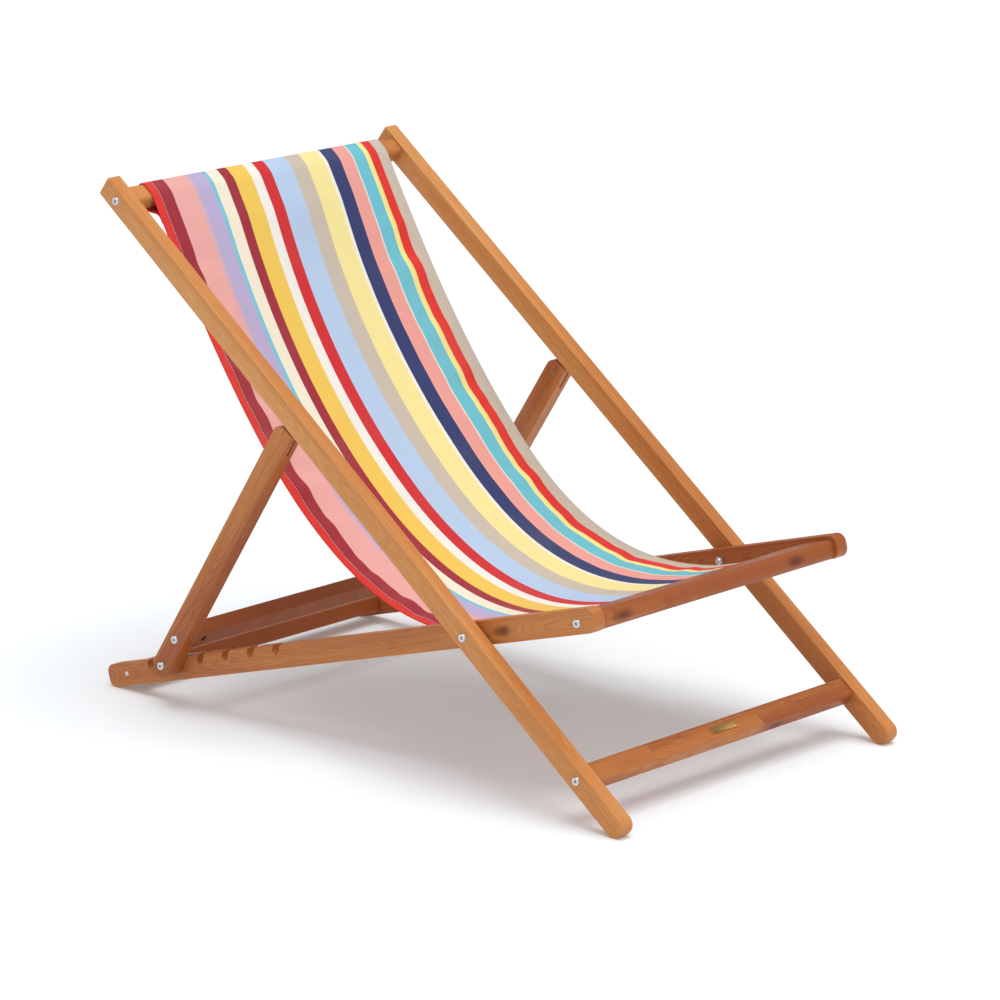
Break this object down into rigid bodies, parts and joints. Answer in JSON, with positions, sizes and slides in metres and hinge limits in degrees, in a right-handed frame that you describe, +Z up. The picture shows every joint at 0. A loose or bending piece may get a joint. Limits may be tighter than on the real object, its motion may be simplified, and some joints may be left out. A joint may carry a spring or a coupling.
{
  "type": "folding deck chair",
  "caption": "Folding wooden deck chair: crossed rail frames, a rear prop whose pins sit in notches, and a striped canvas sling.",
  "frame": {"origin": "on the floor, at the middle of the chair's box", "axes": "+Z up, the sitter faces -Y, the sitter's right is -X"},
  "size_m": [0.604, 1.0488, 0.7822],
  "materials": {
    "oiled_wood": "oiled, satin, eased edges",
    "dowel_wood": "planed",
    "zinc_steel": "zinc plated, satin",
    "brass_plate": "brushed, blank",
    "sling_canvas": "plain-woven canvas in long stripes"
  },
  "bodies": {
    "back_frame": {"back_rail_left": "oiled_wood", "back_rail_right": "oiled_wood", "foot_barrel_nut_left": "zinc_steel", "foot_barrel_nut_right": "zinc_steel", "foot_bolt_left": "zinc_steel", "foot_bolt_right": "zinc_steel", "foot_stretcher": "oiled_wood", "hinge_plate_left": "zinc_steel", "hinge_plate_right": "zinc_steel", "hinge_screw_lower_left": "zinc_steel", "hinge_screw_lower_right": "zinc_steel", "hinge_screw_upper_left": "zinc_steel", "hinge_screw_upper_right": "zinc_steel", "name_plate": "brass_plate", "pivot_bolt_left": "zinc_steel", "pivot_bolt_right": "zinc_steel", "pivot_nut_left": "zinc_steel", "pivot_nut_right": "zinc_steel", "pivot_washer_left": "zinc_steel", "pivot_washer_right": "zinc_steel", "sling": "sling_canvas", "top_barrel_nut_left": "zinc_steel", "top_barrel_nut_right": "zinc_steel", "top_bolt_left": "zinc_steel", "top_bolt_right": "zinc_steel", "top_crossbar": "oiled_wood"},
    "seat_frame": {"front_barrel_nut_left": "zinc_steel", "front_barrel_nut_right": "zinc_steel", "front_bolt_left": "zinc_steel", "front_bolt_right": "zinc_steel", "front_crossbar": "oiled_wood", "rear_screw_left": "zinc_steel", "rear_screw_right": "zinc_steel", "rear_stretcher": "oiled_wood", "seat_rail_left": "oiled_wood", "seat_rail_right": "oiled_wood", "sling_rod": "dowel_wood"},
    "prop_frame": {"hinge_pin_left": "zinc_steel", "hinge_pin_right": "zinc_steel", "locking_pin_left": "zinc_steel", "locking_pin_right": "zinc_steel", "prop_barrel_nut_left": "zinc_steel", "prop_barrel_nut_right": "zinc_steel", "prop_bolt_left": "zinc_steel", "prop_bolt_right": "zinc_steel", "prop_leg_left": "oiled_wood", "prop_leg_right": "oiled_wood", "prop_stretcher": "oiled_wood"}
  },
  "joints": [
    {"name": "seat_pivot", "type": "hinge", "parent": "back_frame", "child": "seat_frame", "pos_m": [0, -0.2308, 0.22769], "axis": [1, 0, 0], "range_deg": [-26.5, 53.1], "deforming": ["sling"]},
    {"name": "prop_hinge", "type": "hinge", "parent": "back_frame", "child": "prop_frame", "pos_m": [0, 0.12552, 0.44809], "axis": [1, 0, 0], "range_deg": [0, 93.8]}
  ]
}
